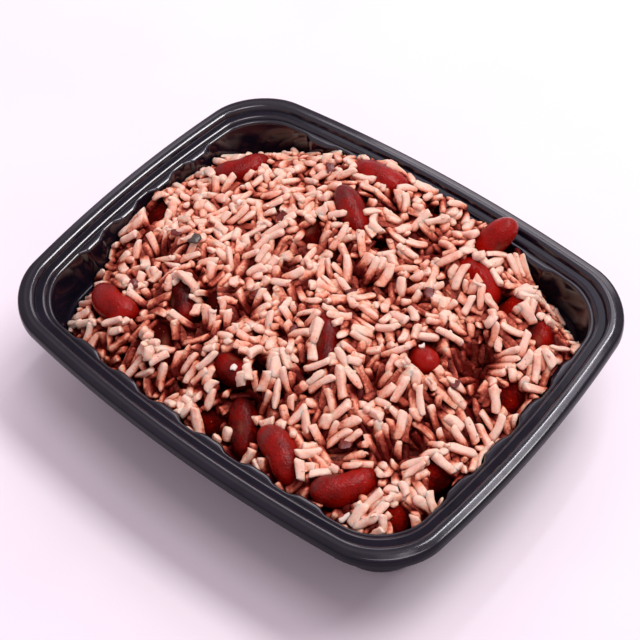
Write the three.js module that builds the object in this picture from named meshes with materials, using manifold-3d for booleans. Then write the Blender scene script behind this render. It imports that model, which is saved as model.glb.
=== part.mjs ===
// A black takeaway tray filled with rice and red kidney beans.
//
// Frame: millimetres, +Z up, X along the tray, Y across it. The origin is on the
// surface that the tray stands on, under the middle of the tray.
//
// Sub-parts: the tray, the heap of rice, and each kidney bean that shows.

import * as THREE from 'three';
import { mergeVertices } from 'three/addons/utils/BufferGeometryUtils.js';
import Module from 'manifold-3d';

const wasm = await Module();
wasm.setup();

// ---------------------------------------------------------------- driving dimensions

// Tray, as seen from above. Insets are measured inwards from the rim's outer edge.
const LENGTH = 150;
const WIDTH = 118.5;
const HEIGHT = 35;
const CORNER_RADIUS = 16.9;
const CORNER_RADIUS_LOSS = 0.45; // radius lost for each mm of inset
const END_BOW = 4.3; // the middle of an end stands out this far past its corners
const SIDE_BOW = 5.3;
const BOW_LOSS = 0.022; // share of the bow lost for each mm of inset

// Tray, in section
const SHEET = 0.8;
const SKIRT_DROP = 3.4;
const SKIRT_LEAN = 0.35; // the skirt leans in by this much up to its shoulder
const SKIRT_SHOULDER_DROP = 0.9;
const BEAD_OUTER = 2.3;
const BEAD_INNER = 3.9;
const BEAD_SLOPE = 0.6; // the run of the short wall between bead and groove
const GROOVE_INNER = 6.7;
const GROOVE_DROP = 1.4;
const LEDGE_OUTER = 7.2;
const LEDGE_INNER = 8.2;
const LEDGE_DROP = 2.3;
const SHOULDER_OUTER = 10.0;
const SHOULDER_STEP = 1.2;
const SHOULDER_DROP = 14.0;
const FOOT_INSET = 14.2;
const FOOT_RADIUS = 1.6;

// Flutes pressed into the wall, which stand in from it towards the food
const FLUTE_DEPTH = 1.4;
const SIDE_FLUTES = 6;
const END_FLUTES = 4;
const FLUTE_PITCH = 18;
const FLUTE_CREST = 0.16; // half of a flute's crest, as a share of the pitch
const FLUTE_FOOT = 0.38; // half of its width where it leaves the wall

// Stations round a quarter turn of a corner
const TRAY_CORNER_STEPS = 5;
const RICE_CORNER_STEPS = 4;

// Rice
const CLEARANCE = 0.35; // between the rice and what it touches
const RICE_EDGE_LEVEL = 18;
const RICE_RISE = 19.5;
const RICE_PEAK = [3, 8];
const RICE_REACH = [80, 64]; // from the peak to where the heap has fallen to the edge level
const RICE_FALL = 3.4; // a higher power gives a flatter top and steeper sides
const RICE_BUMP = 1.0;
const RICE_MESH = 5.0; // spacing of the bumps
const GRAIN_LENGTH = 7.2;
const GRAIN_WIDTH = 2.4;
const GRAIN_BARREL = 0.6; // share of its length that has the full width
const GRAIN_LIFT = 0.5; // of a grain's middle over the smooth heap
const GRAIN_COUNT = 48;
const GRAIN_SPACING = 8;
const GRAIN_ATTEMPTS = 4000;
const GRAIN_UNDER_BEAN = 1; // a grain's end may reach this far under a bean's end
const RICE_SQUARENESS = 6; // a higher power spreads the grains further into the corners
const RICE_SEED = 11;
const CUT_MARGIN = 10; // the shapes that cut the rice reach this far past the tray

// Places where the heap is low: x, y, depth and radius
const HOLLOWS = [
  [56, 49, 15, 11],
  [-58, 48, 9, 13],
  [-62, -36, 7, 11],
  [-24, -21, 4.5, 5],
  [8, -38, 4, 4.5],
  [8, 14, 3.5, 4],
  [48, 9, 3, 4],
];

// Kidney beans
const BEAN_WIDTH = 9.4;
const BEAN_THICKNESS = 8.4;
const BEAN_BEND = 1.0;
const BEAN_NOTCH = 0.7;
const BEAN_NOTCH_REACH = 0.4; // as a share of the half length
const BEAN_BEND_MIDDLE = 0.4; // puts the bent bean's middle on its own axis
const BEAN_FULLNESS = 2.6; // a higher power gives blunter ends

// Each bean that shows: x, y, height of its middle over the heap, direction, upward
// tilt and the roll about its own length in degrees, and its length
const BEANS = [
  [-51.0, 26.0, 1.3, 57, 4, 20, 18.0],
  [-13.0, 45.4, 1.8, 5, 0, -30, 19.0],
  [-8.2, 27.2, 1.7, 148, 15, 50, 20.5],
  [27.6, 44.4, 2.8, 74, 34, 160, 18.0],
  [33.0, 30.5, 1.0, 156, 4, 30, 17.8],
  [44.8, 29.8, -0.2, 60, 30, 0, 15.0],
  [55.8, 26.6, 0.0, -60, -5, 90, 15.5],
  [36.5, 1.8, -1.0, -45, 38, 30, 16.0],
  [14.5, -11.5, 0.8, 128, 14, 60, 18.0],
  [-46.0, -33.0, 2.4, -6, 8, 10, 17.8],
  [-59.4, -0.6, -1.0, 100, 0, 0, 16.0],
  [-29.2, -22.2, -0.4, 138, 12, 40, 16.0],
  [-19.0, -18.2, -2.2, 135, -8, 0, 15.5],
  [-25.3, -35.8, -2.2, 130, 0, 120, 15.5],
  [-2.0, -31.0, 0.2, -6, 16, 70, 16.0],
  [7.9, -22.9, -2.4, 128, -6, 0, 15.0],
  [-2.2, -43.4, -2.6, 4, 0, 30, 15.0],
  [10.5, -41.0, 1.2, 136, 16, 80, 18.0],
  [23.5, -41.6, 1.2, 156, 8, -20, 18.0],
  [42.5, -38.5, 0.0, 54, 0, 30, 18.0],
  [57.0, -21.6, -2.6, 80, 0, 0, 16.0],
  [55.0, -35.0, -3.2, 120, 0, 0, 15.0],
  [8.2, 42.6, -3.2, 20, 0, 0, 15.5],
  [-15.3, 16.3, -3.2, 100, 0, 90, 16.0],
  [7.2, 23.0, -3.3, 75, -6, 90, 15.5],
  [57.8, 8.6, -3.4, 70, 0, 0, 15.0],
];

const TRAY_COLOUR = 0x1d1822;
const RICE_COLOUR = 0xd9a08c;
const BEAN_COLOUR = 0x6e1a10;

// ---------------------------------------------------------------- small helpers

// Mulberry32: the same seed always gives the same rice.
function randomSource(seed) {
  let state = seed;
  return () => {
    state = (state + 0x6d2b79f5) | 0;
    let mixed = Math.imul(state ^ (state >>> 15), 1 | state);
    mixed = (mixed + Math.imul(mixed ^ (mixed >>> 7), 61 | mixed)) ^ mixed;
    return ((mixed ^ (mixed >>> 14)) >>> 0) / 4294967296;
  };
}

// Shared vertices are merged, and the triangles that collapse at a pole are dropped.
function weld(geometry) {
  geometry.deleteAttribute('normal');
  geometry.deleteAttribute('uv');
  const merged = mergeVertices(geometry, 1e-4);
  const corners = Array.from(merged.index.array);
  const kept = [];
  for (let i = 0; i < corners.length; i += 3) {
    const [a, b, c] = corners.slice(i, i + 3);
    if (a !== b && b !== c && c !== a) {
      kept.push(a, b, c);
    }
  }
  merged.setIndex(kept);
  return merged;
}

function toSolid(geometry) {
  const vertProperties = Float32Array.from(geometry.attributes.position.array);
  const triVerts = Uint32Array.from(geometry.index.array);
  return new wasm.Manifold(new wasm.Mesh({ numProp: 3, vertProperties, triVerts }));
}

function toGeometry(solid) {
  const mesh = solid.getMesh();
  const geometry = new THREE.BufferGeometry();
  geometry.setAttribute('position', new THREE.BufferAttribute(mesh.vertProperties, 3));
  geometry.setIndex(new THREE.BufferAttribute(mesh.triVerts, 1));
  return geometry;
}

// ---------------------------------------------------------------- the tray's outline

// The outline is a rounded rectangle, walked anticlockwise. A station holds the
// corner centre it belongs to, as shares of the half length and half width, and the
// way the wall faces there. Between two corners the shares slide along the side.
const CORNERS = [[1, 1], [-1, 1], [-1, -1], [1, -1]];

function outline(cornerSteps, sideMarks) {
  const stations = [];
  CORNERS.forEach(([cornerX, cornerY], quarter) => {
    const start = (quarter * Math.PI) / 2;
    for (let step = 0; step <= cornerSteps; step += 1) {
      const angle = start + ((step / cornerSteps) * Math.PI) / 2;
      const facing = [Math.cos(angle), Math.sin(angle)];
      stations.push({ share: [cornerX, cornerY], facing, flute: 0 });
    }
    const onLongSide = quarter % 2 === 0;
    const end = start + Math.PI / 2;
    const facing = [Math.cos(end), Math.sin(end)];
    for (const { along, flute } of sideMarks(onLongSide)) {
      const share = onLongSide ? [cornerX * along, cornerY] : [cornerX, cornerY * along];
      stations.push({ share, facing, flute });
    }
  });
  return stations;
}

// Four stations for each flute: foot, crest, crest, foot. The row of flutes is centred
// on its side.
function flutedMarks(onLongSide) {
  const count = onLongSide ? SIDE_FLUTES : END_FLUTES;
  const pitch = FLUTE_PITCH / ((onLongSide ? LENGTH : WIDTH) / 2 - CORNER_RADIUS);
  const marks = [];
  for (let i = 0; i < count; i += 1) {
    const middle = ((count - 1) / 2 - i) * pitch;
    marks.push({ along: middle + FLUTE_FOOT * pitch, flute: 0 });
    marks.push({ along: middle + FLUTE_CREST * pitch, flute: 1 });
    marks.push({ along: middle - FLUTE_CREST * pitch, flute: 1 });
    marks.push({ along: middle - FLUTE_FOOT * pitch, flute: 0 });
  }
  return marks;
}

// For the rice, whose sides are smooth: one station between each two flutes.
function unflutedMarks(onLongSide) {
  const count = onLongSide ? SIDE_FLUTES : END_FLUTES;
  const marks = [];
  for (let i = 1; i < count; i += 1) {
    marks.push({ along: 1 - (2 * i) / count, flute: 0 });
  }
  return marks;
}

function planPoint(station, inset, fluteDepth) {
  const halfLength = LENGTH / 2 - inset;
  const halfWidth = WIDTH / 2 - inset;
  const radius = CORNER_RADIUS - CORNER_RADIUS_LOSS * inset;
  const [facingX, facingY] = station.facing;
  const x = station.share[0] * (halfLength - radius) + radius * facingX;
  const y = station.share[1] * (halfWidth - radius) + radius * facingY;
  const bow = 1 - BOW_LOSS * inset;
  const alongShare = x / halfLength;
  const acrossShare = y / halfWidth;
  const pushIn = fluteDepth * station.flute;
  return [
    x - END_BOW * bow * alongShare * acrossShare ** 2 - pushIn * facingX,
    y - SIDE_BOW * bow * acrossShare * alongShare ** 2 - pushIn * facingY,
  ];
}

// A closed skin through rings that follow the outline. A ring is an inset, a height
// and a flute depth; an inset of null is a point in the middle. The rings run up the
// outside and come back down the inside.
function sweep(rings, stations) {
  const profile = rings.map(([inset, height]) => new THREE.Vector2(inset === null ? 0 : 1, height));
  const geometry = new THREE.LatheGeometry(profile, stations.length);
  const position = geometry.attributes.position;
  for (let i = 0; i < position.count; i += 1) {
    const station = stations[Math.floor(i / rings.length) % stations.length];
    const [inset, height, fluteDepth = 0] = rings[i % rings.length];
    const [x, y] = inset === null ? [0, 0] : planPoint(station, inset, fluteDepth);
    position.setXYZ(i, x, y, height);
  }
  return weld(geometry);
}

// ---------------------------------------------------------------- tray

function trayGeometry() {
  const ledge = HEIGHT - LEDGE_DROP;
  const groove = HEIGHT - GROOVE_DROP;
  const shoulder = HEIGHT - SHOULDER_DROP;
  const lip = HEIGHT - SKIRT_DROP;
  const shoulderInner = SHOULDER_OUTER + SHOULDER_STEP;
  const footTop = 2 * FOOT_RADIUS;
  const outside = [
    [null, 0],
    [FOOT_INSET + FOOT_RADIUS, 0],
    [FOOT_INSET - SHEET / 2, SHEET],
    [FOOT_INSET - 2 * SHEET, footTop, FLUTE_DEPTH / 2],
    [shoulderInner - SHEET, shoulder - SHEET, FLUTE_DEPTH],
    [SHOULDER_OUTER - SHEET, shoulder, FLUTE_DEPTH],
    [LEDGE_INNER - SHEET / 2, ledge - SHEET, FLUTE_DEPTH],
    [LEDGE_OUTER - SHEET, ledge - SHEET],
    [GROOVE_INNER - SHEET, groove - SHEET],
    [BEAD_INNER, groove - SHEET],
    [BEAD_INNER - BEAD_SLOPE, HEIGHT - SHEET],
    [BEAD_OUTER, HEIGHT - SHEET],
    [SHEET, lip],
  ];
  const inside = [
    [0, lip],
    [SKIRT_LEAN, HEIGHT - SKIRT_SHOULDER_DROP],
    [BEAD_OUTER, HEIGHT],
    [BEAD_INNER, HEIGHT],
    [BEAD_INNER + BEAD_SLOPE, groove],
    [GROOVE_INNER, groove],
    [LEDGE_OUTER, ledge],
    [LEDGE_INNER, ledge, FLUTE_DEPTH],
    [SHOULDER_OUTER, shoulder, FLUTE_DEPTH],
    [shoulderInner, shoulder - SHEET, FLUTE_DEPTH],
    [FOOT_INSET - SHEET, footTop, FLUTE_DEPTH / 2],
    [FOOT_INSET + FOOT_RADIUS, SHEET],
    [null, SHEET],
  ];
  return sweep([...outside, ...inside], outline(TRAY_CORNER_STEPS, flutedMarks));
}

// ---------------------------------------------------------------- kidney beans

// A sphere stretched to the bean's length, bent, and pinched on the inside of the bend.
function beanGeometry(length, extra) {
  const geometry = new THREE.SphereGeometry(1, 8, 6);
  const position = geometry.attributes.position;
  for (let i = 0; i < position.count; i += 1) {
    const along = position.getY(i);
    const girth = Math.hypot(position.getX(i), position.getZ(i));
    const fullness = girth > 1e-6 ? (1 - Math.abs(along) ** BEAN_FULLNESS) ** 0.5 / girth : 0;
    const side = position.getX(i) * fullness;
    const rise = position.getZ(i) * fullness;
    const reach = along / BEAN_NOTCH_REACH;
    const pinch = BEAN_NOTCH * Math.max(0, side) * Math.exp(-(reach ** 2));
    const bend = BEAN_BEND * (along ** 2 - BEAN_BEND_MIDDLE);
    position.setXYZ(
      i,
      along * (length / 2 + extra),
      side * (BEAN_WIDTH / 2 + extra) - pinch + bend,
      -rise * (BEAN_THICKNESS / 2 + extra),
    );
  }
  return weld(geometry);
}

function beanTurn(yaw, tilt, roll) {
  const radians = [roll, -tilt, yaw].map((angle) => THREE.MathUtils.degToRad(angle));
  return new THREE.Euler(radians[0], radians[1], radians[2], 'ZYX');
}

// ---------------------------------------------------------------- rice

function heapLevel(x, y) {
  const fallX = Math.min(1, Math.abs((x - RICE_PEAK[0]) / RICE_REACH[0]) ** RICE_FALL);
  const fallY = Math.min(1, Math.abs((y - RICE_PEAK[1]) / RICE_REACH[1]) ** RICE_FALL);
  let level = RICE_EDGE_LEVEL + RICE_RISE * (1 - fallX) * (1 - fallY);
  for (const [hollowX, hollowY, depth, radius] of HOLLOWS) {
    const reach = Math.hypot(x - hollowX, y - hollowY) / radius;
    level -= depth * Math.exp(-0.5 * reach ** 2);
  }
  return level;
}

// The core: a block with a bumpy top, cut to the inside of the tray.
function heapCore(random) {
  const columns = Math.round(LENGTH / RICE_MESH);
  const rows = Math.round(WIDTH / RICE_MESH);
  const top = HEIGHT + CUT_MARGIN;
  const block = weld(new THREE.BoxGeometry(LENGTH, WIDTH, top, columns, rows, 1));
  const position = block.attributes.position;
  for (let i = 0; i < position.count; i += 1) {
    const bump = RICE_BUMP * (2 * random() - 1);
    if (position.getZ(i) > 0) {
      position.setZ(i, heapLevel(position.getX(i), position.getY(i)) + bump);
    }
  }
  const wall = FLUTE_DEPTH + CLEARANCE;
  const shoulder = HEIGHT - SHOULDER_DROP;
  const cavity = sweep(
    [
      [null, SHEET + CLEARANCE],
      [FOOT_INSET + FOOT_RADIUS + CLEARANCE, SHEET + CLEARANCE],
      [SHOULDER_OUTER + SHOULDER_STEP + wall, shoulder - SHEET],
      [SHOULDER_OUTER + wall, shoulder + SHEET],
      [LEDGE_INNER + wall, HEIGHT],
      [LEDGE_INNER + wall, top],
      [null, top],
    ],
    outline(RICE_CORNER_STEPS, unflutedMarks),
  );
  return toSolid(block).intersect(toSolid(cavity));
}

// A four-sided grain with pointed ends, lying along X with a flat side up.
function grainGeometry() {
  const radius = GRAIN_WIDTH / Math.SQRT2;
  const half = GRAIN_LENGTH / 2;
  const profile = [
    new THREE.Vector2(0, -half),
    new THREE.Vector2(radius, -GRAIN_BARREL * half),
    new THREE.Vector2(radius, GRAIN_BARREL * half),
    new THREE.Vector2(0, half),
  ];
  const geometry = new THREE.LatheGeometry(profile, 4, Math.PI / 4);
  geometry.rotateZ(-Math.PI / 2);
  return weld(geometry);
}

// Grains are spread evenly over the heap, clear of the beans and of the wall.
function grainPlaces(random) {
  const places = [];
  const reachX = LENGTH / 2 - FOOT_INSET - GRAIN_LENGTH / 2;
  const reachY = WIDTH / 2 - FOOT_INSET - GRAIN_LENGTH / 2;
  for (let i = 0; i < GRAIN_ATTEMPTS && places.length < GRAIN_COUNT; i += 1) {
    const x = (2 * random() - 1) * reachX;
    const y = (2 * random() - 1) * reachY;
    const inTray = (x / reachX) ** RICE_SQUARENESS + (y / reachY) ** RICE_SQUARENESS < 1;
    const clearOfGrains = places.every((place) => {
      return Math.hypot(place.x - x, place.y - y) > GRAIN_SPACING;
    });
    const clearOfBeans = BEANS.every(([beanX, beanY, , , , , length]) => {
      const needed = (length + GRAIN_LENGTH) / 2 - GRAIN_UNDER_BEAN;
      return Math.hypot(beanX - x, beanY - y) > needed;
    });
    if (inTray && clearOfGrains && clearOfBeans) {
      places.push({ x, y, yaw: Math.PI * random() });
    }
  }
  return places;
}

// A grain lies along the slope, with a little more than half of it above the core.
function layGrain({ x, y, yaw }) {
  const reachX = (Math.cos(yaw) * GRAIN_LENGTH) / 2;
  const reachY = (Math.sin(yaw) * GRAIN_LENGTH) / 2;
  const front = heapLevel(x + reachX, y + reachY);
  const back = heapLevel(x - reachX, y - reachY);
  const pitch = Math.atan2(front - back, GRAIN_LENGTH);
  const geometry = grainGeometry();
  const turn = new THREE.Euler(0, -pitch, yaw, 'ZYX');
  geometry.applyMatrix4(new THREE.Matrix4().makeRotationFromEuler(turn));
  geometry.translate(x, y, (front + back) / 2 + GRAIN_LIFT);
  return geometry;
}

function riceGeometry(beans) {
  const random = randomSource(RICE_SEED);
  let rice = heapCore(random);
  for (const place of grainPlaces(random)) {
    rice = rice.add(toSolid(layGrain(place)));
  }
  for (const bean of beans) {
    const socket = beanGeometry(bean.userData.length, CLEARANCE);
    bean.updateMatrix();
    socket.applyMatrix4(bean.matrix);
    rice = rice.subtract(toSolid(socket));
  }
  return toGeometry(rice);
}

// ---------------------------------------------------------------- assembly

function makeBean([x, y, lift, yaw, tilt, roll, length], index) {
  const material = new THREE.MeshStandardMaterial({ color: BEAN_COLOUR, roughness: 0.3 });
  const bean = new THREE.Mesh(beanGeometry(length, 0), material);
  bean.name = `bean_${String(index + 1).padStart(2, '0')}`;
  bean.userData.length = length;
  bean.rotation.copy(beanTurn(yaw, tilt, roll));
  bean.position.set(x, y, heapLevel(x, y) + lift);
  return bean;
}

const trayMaterial = new THREE.MeshStandardMaterial({ color: TRAY_COLOUR, roughness: 0.28 });
const tray = new THREE.Mesh(trayGeometry(), trayMaterial);
tray.name = 'tray';

const beans = BEANS.map(makeBean);

const riceMaterial = new THREE.MeshStandardMaterial({ color: RICE_COLOUR, roughness: 0.45 });
const rice = new THREE.Mesh(riceGeometry(beans), riceMaterial);
rice.name = 'rice';

const riceAndBeans = new THREE.Group();
riceAndBeans.add(tray, rice, ...beans);

export default riceAndBeans;
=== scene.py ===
import math

import bpy
import numpy as np
from mathutils import Matrix, Vector
from mathutils.bvhtree import BVHTree


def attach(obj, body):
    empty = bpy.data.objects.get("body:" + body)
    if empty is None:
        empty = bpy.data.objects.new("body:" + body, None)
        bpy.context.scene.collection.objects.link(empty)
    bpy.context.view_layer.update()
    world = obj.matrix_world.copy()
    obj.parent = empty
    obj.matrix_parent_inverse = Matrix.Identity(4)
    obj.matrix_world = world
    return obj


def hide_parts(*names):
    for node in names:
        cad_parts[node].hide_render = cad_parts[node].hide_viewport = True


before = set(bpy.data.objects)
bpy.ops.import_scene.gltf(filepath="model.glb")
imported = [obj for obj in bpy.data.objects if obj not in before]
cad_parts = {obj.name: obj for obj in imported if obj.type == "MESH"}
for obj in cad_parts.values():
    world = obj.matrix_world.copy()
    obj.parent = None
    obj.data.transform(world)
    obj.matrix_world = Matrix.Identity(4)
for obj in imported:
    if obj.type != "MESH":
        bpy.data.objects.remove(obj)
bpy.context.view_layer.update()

# A takeaway tray of rice and red kidney beans. Lengths are millimetres until a mesh is
# made, in the frame's own axes: +Z up, X along the tray, Y across it.
MM = 0.001
random = np.random.default_rng(20)

# ---------------- the part's dimensions

LENGTH, WIDTH, HEIGHT = 150, 118.5, 35
CORNER_RADIUS, CORNER_RADIUS_LOSS = 16.9, 0.45
END_BOW, SIDE_BOW, BOW_LOSS = 4.3, 5.3, 0.022
SHEET = 0.8
SKIRT_DROP = 3.4
BEAD_OUTER, BEAD_INNER, BEAD_SLOPE = 2.3, 3.9, 0.6
GROOVE_INNER, GROOVE_DROP = 6.7, 1.4
LEDGE_OUTER, LEDGE_INNER, LEDGE_DROP = 7.2, 8.2, 2.3
SHOULDER_OUTER, SHOULDER_STEP, SHOULDER_DROP = 10.0, 1.2, 14.0
FOOT_INSET, FOOT_RADIUS = 14.2, 1.6
FLUTE_DEPTH, FLUTE_PITCH, SIDE_FLUTES, END_FLUTES = 1.4, 18, 6, 4
FLUTE_CREST, FLUTE_FOOT = 0.16, 0.38
BASE_INSET = 30  # the flat base goes on inwards from here as one fan
CORNER_STEPS, FLUTE_MARKS = 14, 16  # how finely a corner and a flute are cut up
# How polished the tray is, most on its edges: inset and share
GLOSS = (
    (0, 0.1), (0.25, 0.3), (0.6, 1.0), (1.8, 1.0), (2.0, 2.0), (2.6, 2.0), (2.9, 0.8),
    (3.3, 2.0), (4.2, 2.0), (4.5, 0.4), (6.1, 0.4), (6.3, 2.0), (6.9, 2.0), (7.1, 0.4),
    (7.5, 0.4), (7.8, 2.0), (8.5, 2.0), (8.9, 0.4), (9.6, 0.25),
)

# The heap's height at its edge and its rise, its peak in the plan, how far it reaches
# along X and Y, and how steeply it falls at the edge
RICE_EDGE_LEVEL, RICE_RISE = 18, 19.5
RICE_PEAK, RICE_REACH, RICE_FALL = (3, 8), (80, 64), 3.4
# Broad hollows in the heap: x, y, depth and radius
HOLLOWS = (
    (56, 49, 15, 11), (-58, 48, 9, 13), (-62, -36, 7, 11), (-24, -21, 4.5, 5),
    (8, -38, 4, 4.5), (8, 14, 3.5, 4), (48, 9, 3, 4),
)

# Small dark pits between the grains: x, y, depth and radius
PITS = (
    (-32.0, -27.0, 2.4, 4.5), (-14.0, -30.0, 2.2, 3.6), (-22.6, -23.4, 2.8, 4.6),
    (-23.0, -15.3, 3.5, 2.5), (7.2, -35.2, 4.0, 2.8), (6.3, 14.7, 4.5, 3.0),
    (47.8, 9.1, 4.5, 3.0), (-10.7, -25.2, 3.5, 2.6), (-14.0, 16.2, 3.0, 2.6),
    (-47.4, -10.6, 3.0, 2.2), (-30.7, -13.1, 3.0, 2.2), (52.1, -19.6, 3.2, 2.4),
    (22.3, -39.4, 3.0, 2.0), (45.7, -26.1, 3.0, 2.0), (61.5, -23.6, 3.5, 2.6),
    (-11.3, 1.6, 3.0, 2.2), (13.0, -22.1, 3.2, 2.4), (60.1, 9.0, 3.5, 2.8),
    (-57.4, -7.3, 3.0, 2.4), (-11.8, -13.4, 2.8, 2.2),
)

# Small relief of the heap: how far apart its bumps are, lowest and highest, and its limit
RELIEF, RELIEF_MOST = ((9, -2.6, 1.9), (4.5, -1.3, 1.0)), 1.7
BED_DEPTH = 0.2  # the grains are laid to a level this far under the heap's

# Small pale bits: x, y and length; and one dark shiny bit of herb: x and y, and its length
PALE_BITS = (
    (47.4, -44.4, 3.6), (0.5, -32.7, 1.7), (35.8, 1.9, 1.7), (-38.2, 12.0, 1.8),
)
HERB_BIT, HERB_LENGTH = (-38.4, -6.2), 3.6
CRUMBS, SKIN_SCRAPS = 150, 10  # at most so many of each

# How far grains may stand above the plain heap, and above a bean's rise, before it counts
MOUND_LOFT, MOUND_LOFT_AT_BEAN = 4.0, 3.5
DEEP_FROM, DEEP_TO = 1.3, 3.8  # how far below the food around the darkening starts and ends, partly a stain and partly painted shade in the crevices


def by_bean(table):
    return {f"bean_{number:02}": value for number, value in table.items()}


IN_HOLLOW = ("bean_12", "bean_13", "bean_14")  # these beans lie in a hollow in the rice

# Beans that show: how far in from its outline grains may lap over one
LAPS = by_bean({
    1: 0.6, 2: 1.2, 3: 1.2, 4: 1.2, 5: 2.2,
    9: 2.6, 10: 1.0, 18: 1.5, 19: 1.8, 20: 2.0,
})
LAP_COVER, LAP_WIDE = 0.7, 2  # how thick such grains lie, and the lap that is laid first
# How strong a painted sheen, a reflection painted into the skin's colour, is at one end of a
# bean, from 0 to 1
SHEEN_AT_END = by_bean({
    1: 0.7, 2: 0.0, 3: 0.7, 4: 0.2, 7: 0.6,
    10: 0.5, 15: 0.4, 19: 0.7, 20: 0.6,
})
# How dark a bean is, from 0 to 1; the beans in the hollow (12 to 14) are made darkest partly as
# painted shade
BEAN_TONES = by_bean({
    1: 0.50, 2: 0.15, 3: 0.45, 4: 0.10, 5: 0.05,
    6: 0.10, 7: 0.40, 8: 0.10, 9: 0.50, 10: 0.20,
    11: 0.75, 12: 0.70, 13: 0.95, 14: 0.80, 15: 0.45,
    16: 0.60, 17: 0.60, 18: 0.78, 19: 0.30, 20: 0.40,
    21: 0.35, 22: 0.35,
})
# How the rice rises to a bean: how far the bean stands out of it and how much it rises
# at most, for one that shows, one that only glimpses out and one that lies in a hollow
SUNK, RISE_MOST = 2.2, 3.2
SUNK_WELL, RISE_WELL = 0.2, 4.2
SUNK_DEEP, RISE_DEEP = 2.6, 1.5
RISE_SLOPE, RISE_REACH = 0.45, 9  # how fast the rise falls off, and how far it goes
BURIED = 4  # a bean this far under the heap can't show

# Beans that only glimpse out between the grains: the gap's x, y and radius
GLIMPSES = by_bean({
    6: (42.3, 29.7, 3.2), 7: (55.4, 28.6, 3.6), 8: (37.2, 0.9, 4.2),
    11: (-59.8, -0.8, 2.8), 12: (-29.5, -22.2, 2.8), 13: (-22.4, -18.3, 2.2),
    14: (-26.2, -32.7, 2.8), 15: (-2.8, -31.3, 4.2), 16: (4.4, -26.8, 2.2),
    17: (2.1, -44.7, 2.8), 21: (61.4, -23.5, 3.0), 22: (59.2, -36.8, 2.8),
    23: (6.0, 45.5, 2.4), 24: (-13.8, 16.0, 2.4), 25: (3.7, 24.8, 2.0),
    26: (60.4, 8.2, 2.4),
})
# How far such a gap reaches towards the viewer, and how thick the grains lie beside it
GLIMPSE_REACH, GLIMPSE_COVER = 1.3, 1.5

BEAN_WIDTH, BEAN_THICKNESS, BEAN_BEND, BEAN_NOTCH = 9.4, 8.4, 1.0, 0.7
BEAN_FULLNESS = 2.6  # a higher power makes blunter ends
SCAR_LENGTH, SCAR_WIDTH, SCAR_DEPTH = 1.6, 0.8, 0.35
BEANS = sorted(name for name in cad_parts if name.startswith("bean_"))

# ---------------- meshes


def make_mesh(name, points, quads, triangles=(), fields=None):
    """A smooth-shaded object from arrays. Points are in mm; fields are one number a point."""
    mesh = bpy.data.meshes.new(name)
    quads = np.asarray(quads, np.int32).reshape(-1, 4)
    triangles = np.asarray(triangles, np.int32).reshape(-1, 3)
    corners = np.concatenate([quads.ravel(), triangles.ravel()])
    starts = np.concatenate([
        np.arange(len(quads)) * 4,
        len(quads) * 4 + np.arange(len(triangles)) * 3,
    ])
    mesh.vertices.add(len(points))
    mesh.vertices.foreach_set("co", (np.asarray(points) * MM).astype(np.float32).ravel())
    mesh.loops.add(len(corners))
    mesh.loops.foreach_set("vertex_index", corners)
    mesh.polygons.add(len(starts))
    mesh.polygons.foreach_set("loop_start", starts.astype(np.int32))
    mesh.update(calc_edges=True)
    mesh.validate()
    mesh.shade_smooth()
    for field, values in (fields or {}).items():
        attribute = mesh.attributes.new(field, "FLOAT", "POINT")
        attribute.data.foreach_set("value", np.asarray(values, np.float32).ravel())
    piece = bpy.data.objects.new(name, mesh)
    bpy.context.scene.collection.objects.link(piece)
    return piece


def ring_faces(rings, around):
    """The faces of one closed tube of rings with a point at each end, as two arrays."""
    column = np.arange(around)
    beside = (column + 1) % around
    quads = [
        np.stack([row * around + column, row * around + beside,
                  (row + 1) * around + beside, (row + 1) * around + column], 1)
        for row in range(rings - 1)
    ]
    first, last = rings * around, rings * around + 1
    top = (rings - 1) * around
    start = np.stack([np.full(around, first), beside, column], 1)
    end = np.stack([np.full(around, last), top + column, top + beside], 1)
    return np.concatenate(quads), np.concatenate([start, end])


def join_tubes(name, tubes, rings, around, fields):
    """One piece from many tubes: an array of tubes by points by xyz."""
    quads, triangles = ring_faces(rings, around)
    count, size = tubes.shape[:2]
    shift = (np.arange(count) * size)[:, None, None]
    return make_mesh(
        name, tubes.reshape(-1, 3), (quads[None] + shift).reshape(-1, 4),
        (triangles[None] + shift).reshape(-1, 3), fields,
    )


# ---------------- tray


def flute(pitch_share):
    """How far a flute stands in at a place in its pitch, from 0 to 1."""
    rise = np.clip((FLUTE_FOOT - abs(pitch_share)) / (FLUTE_FOOT - FLUTE_CREST), 0, 1)
    return rise * rise * (3 - 2 * rise)


def tray_stations(corner_steps, marks):
    """Rows of share x, share y, facing x, facing y and flute, anticlockwise."""
    rows = []
    for quarter, (corner_x, corner_y) in enumerate(((1, 1), (-1, 1), (-1, -1), (1, -1))):
        start = quarter * math.pi / 2
        for step in range(corner_steps + 1):
            angle = start + step / corner_steps * math.pi / 2
            rows.append((corner_x, corner_y, math.cos(angle), math.sin(angle), 0))
        on_long_side = quarter % 2 == 0
        count = SIDE_FLUTES if on_long_side else END_FLUTES
        straight = (LENGTH if on_long_side else WIDTH) / 2 - CORNER_RADIUS
        end = start + math.pi / 2
        for i in range(count):
            for mark in marks:
                along = ((count - 1) / 2 - i - mark) * FLUTE_PITCH / straight
                share = (corner_x * along, corner_y)
                if not on_long_side:
                    share = (corner_x, corner_y * along)
                rows.append((*share, math.cos(end), math.sin(end), flute(mark)))
    return np.array(rows)


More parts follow.
